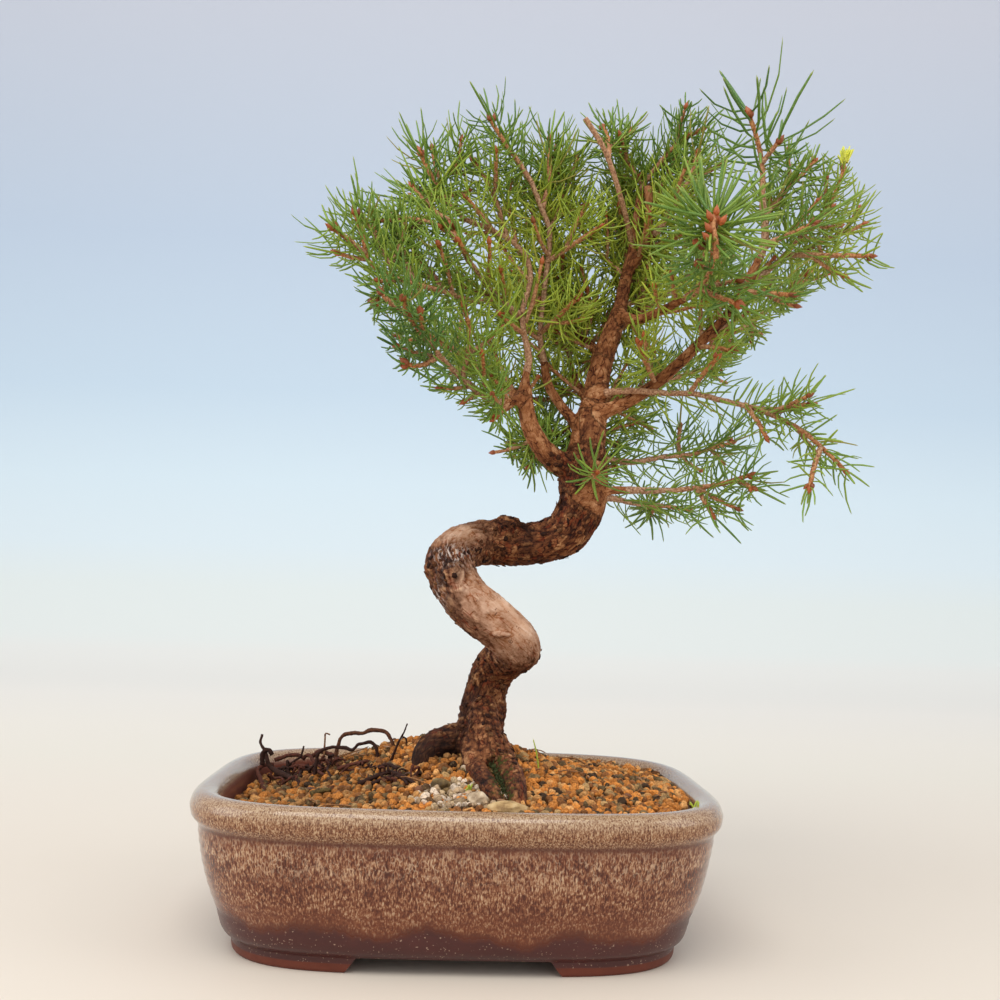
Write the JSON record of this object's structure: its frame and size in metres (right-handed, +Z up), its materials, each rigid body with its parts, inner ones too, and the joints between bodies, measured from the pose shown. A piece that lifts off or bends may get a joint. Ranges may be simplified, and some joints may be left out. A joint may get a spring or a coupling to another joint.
{
  "type": "potted bonsai tree",
  "caption": "White spruce bonsai with a looped, leaning trunk and a needled crown reaching out past one side, growing in granular soil in a low glazed pot on feet.",
  "frame": {"origin": "centre of the whole object's footprint box, on the surface that the pot's feet stand on", "axes": "+Z up; +X to the right along the pot's length, the way the crown leans; +Y away from the viewer"},
  "size_m": [0.2538, 0.1694, 0.3205],
  "materials": {
    "glaze": "gloss",
    "net": "matte",
    "soil": "matte",
    "pumice": "matte",
    "stone": "matte",
    "root": "matte",
    "bark": "matte",
    "needles": "satin"
  },
  "bodies": {
    "root": {"pot": "glaze", "drain_screen_left": "net", "drain_screen_right": "net", "soil": "soil", "pumice_patch": "pumice", "stone_green": "stone", "stone_flat": "stone", "dead_root_upright": "root", "dead_root_arch": "root", "dead_root_dark": "root", "trunk": "bark", "spray_crown_left": "needles", "spray_crown_left_low": "needles", "spray_left_inner": "needles", "spray_left_front": "needles", "spray_left_outer": "needles", "spray_left_low": "needles", "spray_left_low_up": "needles", "spray_left_low_under": "needles", "spray_left_low_in": "needles", "spray_left_upper_front": "needles", "spray_left_shade": "needles", "spray_left_back": "needles", "spray_middle_top": "needles", "spray_middle_top_right": "needles", "spray_middle_top_back": "needles", "spray_middle_pale": "needles", "spray_middle_front": "needles", "spray_middle_back": "needles", "spray_top_tuft": "needles", "spray_top": "needles", "spray_top_back": "needles", "spray_top_right": "needles", "spray_back_top": "needles", "spray_back_left": "needles", "spray_back_right": "needles", "spray_back_low": "needles", "spray_right_back": "needles", "spray_leader": "needles", "spray_right_side": "needles", "spray_right_upper": "needles", "spray_right_outer": "needles", "spray_right_mid_under": "needles", "spray_right_inner": "needles", "spray_right_front": "needles", "spray_front": "needles", "spray_low_outer": "needles", "spray_low_mid": "needles", "spray_low_back": "needles", "spray_bottom": "needles", "spray_bottom_back": "needles", "spray_trunk_tuft": "needles"}
  },
  "joints": []
}
